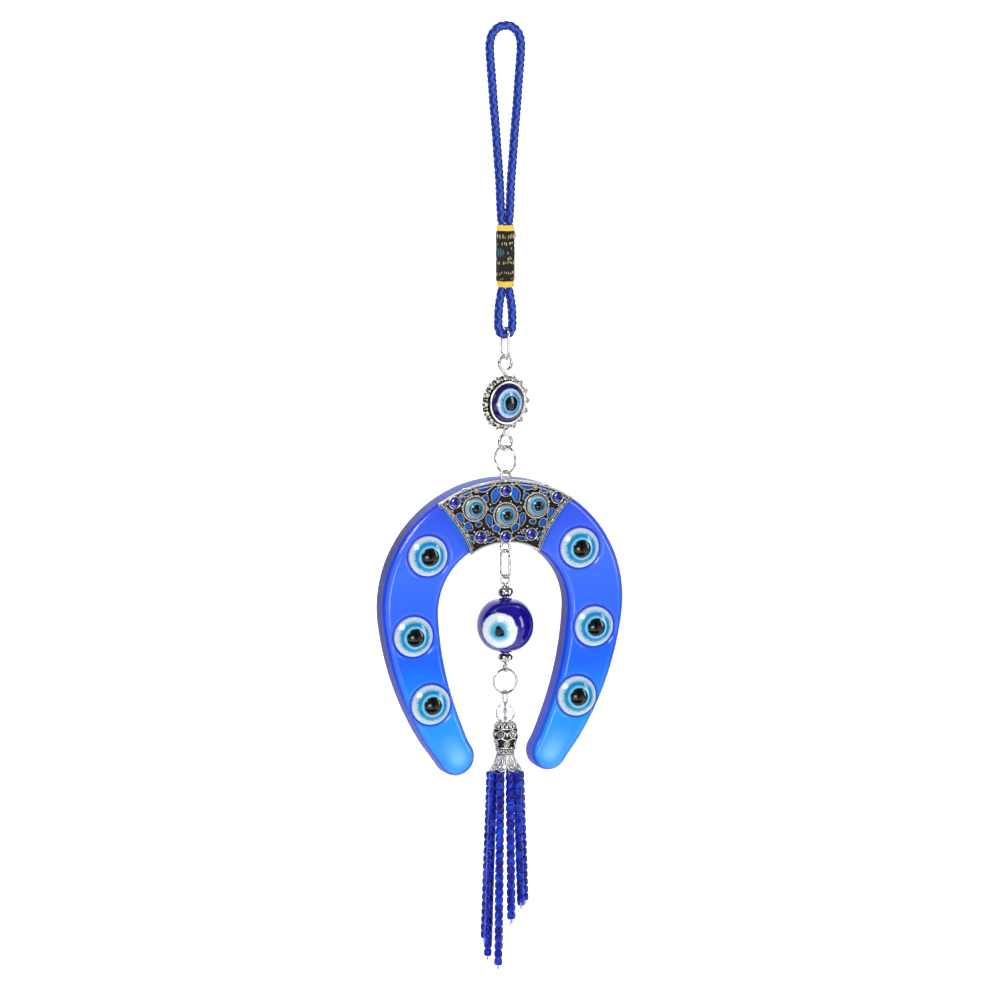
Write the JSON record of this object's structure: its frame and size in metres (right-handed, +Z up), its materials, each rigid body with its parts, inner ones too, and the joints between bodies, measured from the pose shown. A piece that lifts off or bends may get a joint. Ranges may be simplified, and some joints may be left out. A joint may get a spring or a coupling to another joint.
{
  "type": "evil eye wall ornament",
  "caption": "Hanging wall ornament: a satin cord and sun charm carry a resin horseshoe set with eyes, with a glass eye drop and a bead tassel.",
  "frame": {"origin": "inner top of the cord loop, where the hook bears", "axes": "+Z up along the hanging line, +X to the right seen from the front, the eyes face -Y"},
  "size_m": [0.0774, 0.0174, 0.2886],
  "materials": {
    "satin_cord": "satin braid",
    "golden_thread": "satin thread",
    "brocade": "woven brocade",
    "silver": "polished",
    "antique_silver": "antiqued, dark in the recesses",
    "blue_resin": "glossy translucent",
    "eye_resin": "glossy",
    "sun_eye_resin": "glossy",
    "rhinestone": "faceted",
    "cobalt_glass": "glossy",
    "clear_crystal": "faceted",
    "seed_glass": "glossy",
    "clear_thread": "glossy"
  },
  "bodies": {
    "cord": {"hanging_cord": "satin_cord", "top_thread_wrap": "golden_thread", "brocade_band": "brocade", "bottom_thread_wrap": "golden_thread"},
    "cord_link": {"cord_link": "silver"},
    "sun": {"sun_setting": "antique_silver", "sun_eye": "sun_eye_resin"},
    "horseshoe_link": {"horseshoe_link": "silver"},
    "horseshoe": {"horseshoe_body": "blue_resin", "leg_eye_left_top": "eye_resin", "leg_eye_left_middle": "eye_resin", "leg_eye_left_low": "eye_resin", "leg_eye_right_top": "eye_resin", "leg_eye_right_middle": "eye_resin", "leg_eye_right_low": "eye_resin", "filigree_plate": "antique_silver", "plate_eye_left": "eye_resin", "plate_eye_middle": "eye_resin", "plate_eye_right": "eye_resin", "rhinestones": "rhinestone"},
    "drop_link": {"drop_link": "silver"},
    "eye_pin": {"eye_pin": "silver", "upper_spacer": "silver", "lower_spacer": "silver"},
    "glass_eye": {"glass_eye_bead": "cobalt_glass"},
    "tassel_ring": {"tassel_ring": "silver"},
    "tassel": {"tassel_pin": "silver", "crystal_bead": "clear_crystal", "vase_cap": "antique_silver", "petal_cap": "antique_silver", "thread_knot": "clear_thread"},
    "strand_01": {"strand_01_beads": "seed_glass", "strand_01_thread": "clear_thread"},
    "strand_02": {"strand_02_beads": "seed_glass", "strand_02_thread": "clear_thread"},
    "strand_03": {"strand_03_beads": "seed_glass", "strand_03_thread": "clear_thread"},
    "strand_04": {"strand_04_beads": "seed_glass", "strand_04_thread": "clear_thread"},
    "strand_05": {"strand_05_beads": "seed_glass", "strand_05_thread": "clear_thread"},
    "strand_06": {"strand_06_beads": "seed_glass", "strand_06_thread": "clear_thread"},
    "strand_07": {"strand_07_beads": "seed_glass", "strand_07_thread": "clear_thread"},
    "strand_08": {"strand_08_beads": "seed_glass", "strand_08_thread": "clear_thread"},
    "strand_09": {"strand_09_beads": "seed_glass", "strand_09_thread": "clear_thread"},
    "strand_10": {"strand_10_beads": "seed_glass", "strand_10_thread": "clear_thread"}
  },
  "joints": [
    {"name": "cord_link_swing", "type": "hinge", "parent": "cord", "child": "cord_link", "pos_m": [0, 0, -0.0918], "axis": [1, 0, 0], "range_deg": [-35, 35]},
    {"name": "sun_swing", "type": "hinge", "parent": "cord_link", "child": "sun", "pos_m": [0, 0, -0.09945], "axis": [0.1736, -0.9848, 0], "range_deg": [-35, 35]},
    {"name": "horseshoe_link_swing", "type": "hinge", "parent": "sun", "child": "horseshoe_link", "pos_m": [0, 0, -0.12685], "axis": [0.9613, 0.2756, 0], "range_deg": [-45, 45]},
    {"name": "horseshoe_swing", "type": "hinge", "parent": "horseshoe_link", "child": "horseshoe", "pos_m": [0, 0, -0.134], "axis": [0.4848, -0.8746, 0], "range_deg": [-35, 35]},
    {"name": "drop_link_swing", "type": "hinge", "parent": "horseshoe", "child": "drop_link", "pos_m": [0, 0, -0.15865], "axis": [1, 0, 0], "range_deg": [-45, 45]},
    {"name": "pendant_swing", "type": "hinge", "parent": "drop_link", "child": "eye_pin", "pos_m": [0, 0, -0.1663], "axis": [0, 1, 0], "range_deg": [-3, 3]},
    {"name": "glass_eye_spin", "type": "hinge", "parent": "eye_pin", "child": "glass_eye", "pos_m": [0, 0, -0.1807], "axis": [0, 0, 1], "continuous": true},
    {"name": "tassel_ring_swing", "type": "hinge", "parent": "eye_pin", "child": "tassel_ring", "pos_m": [0, 0, -0.1943], "axis": [1, 0, 0], "range_deg": [-45, 45]},
    {"name": "tassel_swing", "type": "hinge", "parent": "tassel_ring", "child": "tassel", "pos_m": [0, 0, -0.2008], "axis": [0, 1, 0], "range_deg": [-3, 3]},
    {"name": "strand_01_swing", "type": "hinge", "parent": "tassel", "child": "strand_01", "pos_m": [0.00428, -0.00156, -0.2257], "axis": [-0.342, -0.9397, 0], "range_deg": [0, 25]},
    {"name": "strand_02_swing", "type": "hinge", "parent": "tassel", "child": "strand_02", "pos_m": [0.00437, 0.00125, -0.2257], "axis": [0.2756, -0.9613, 0], "range_deg": [0, 25]},
    {"name": "strand_03_swing", "type": "hinge", "parent": "tassel", "child": "strand_03", "pos_m": [0.0028, 0.00359, -0.2257], "axis": [0.788, -0.6157, 0], "range_deg": [0, 25]},
    {"name": "strand_04_swing", "type": "hinge", "parent": "tassel", "child": "strand_04", "pos_m": [0.00016, 0.00455, -0.2257], "axis": [0.9994, -0.0349, 0], "range_deg": [0, 25]},
    {"name": "strand_05_swing", "type": "hinge", "parent": "tassel", "child": "strand_05", "pos_m": [-0.00254, 0.00377, -0.2257], "axis": [0.829, 0.5592, 0], "range_deg": [0, 25]},
    {"name": "strand_06_swing", "type": "hinge", "parent": "tassel", "child": "strand_06", "pos_m": [-0.00428, 0.00156, -0.2257], "axis": [0.342, 0.9397, 0], "range_deg": [0, 25]},
    {"name": "strand_07_swing", "type": "hinge", "parent": "tassel", "child": "strand_07", "pos_m": [-0.00437, -0.00125, -0.2257], "axis": [-0.2756, 0.9613, 0], "range_deg": [0, 25]},
    {"name": "strand_08_swing", "type": "hinge", "parent": "tassel", "child": "strand_08", "pos_m": [-0.0028, -0.00359, -0.2257], "axis": [-0.788, 0.6157, 0], "range_deg": [0, 25]},
    {"name": "strand_09_swing", "type": "hinge", "parent": "tassel", "child": "strand_09", "pos_m": [-0.00016, -0.00455, -0.2257], "axis": [-0.9994, 0.0349, 0], "range_deg": [0, 25]},
    {"name": "strand_10_swing", "type": "hinge", "parent": "tassel", "child": "strand_10", "pos_m": [0.00254, -0.00377, -0.2257], "axis": [-0.829, -0.5592, 0], "range_deg": [0, 25]}
  ]
}
